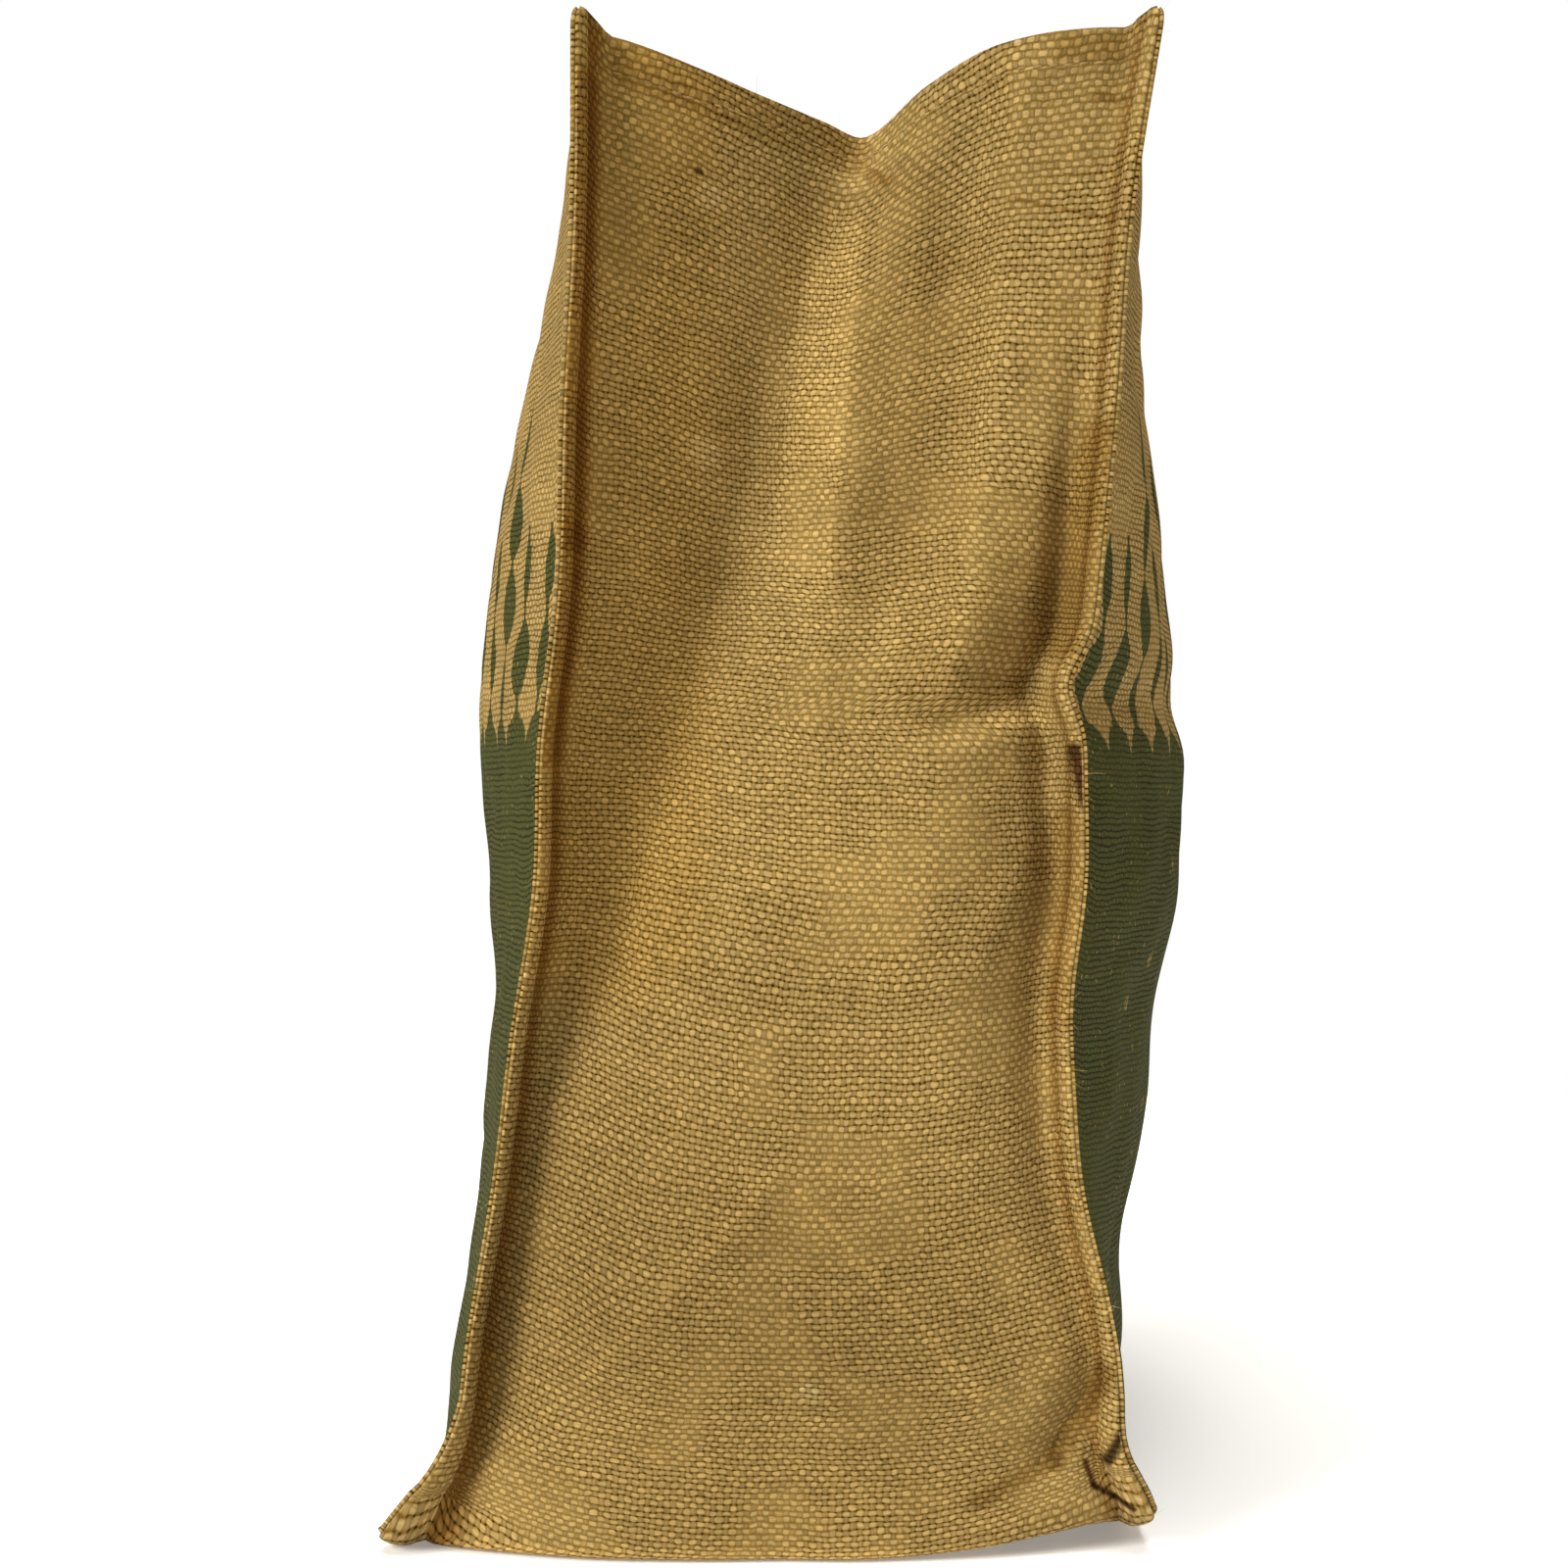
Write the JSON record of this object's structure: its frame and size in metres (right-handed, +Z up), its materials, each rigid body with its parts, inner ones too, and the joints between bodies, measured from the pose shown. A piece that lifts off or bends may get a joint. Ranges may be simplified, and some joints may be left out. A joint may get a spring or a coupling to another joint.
{
  "type": "burlap bag",
  "caption": "Open-topped rectangular burlap bag that stands empty on its flat base, with outside seams, corner ears and narrow sides half folded in.",
  "frame": {"origin": "middle of the base's flat underside, on the surface the bag stands on", "axes": "+Z up; Y along the bag's length, with the narrow side that the picture shows facing -Y; +X towards the front panel"},
  "size_m": [0.2587, 0.4481, 0.4543],
  "materials": {
    "plain_burlap": "plain weave of uneven natural jute yarn, matt, with small gaps between the yarns",
    "printed_burlap": "the same burlap, screen printed in dark olive green on its lower part"
  },
  "bodies": {
    "root": {"front_panel": "printed_burlap", "back_panel": "printed_burlap", "side_and_base_strip": "plain_burlap"}
  },
  "joints": []
}
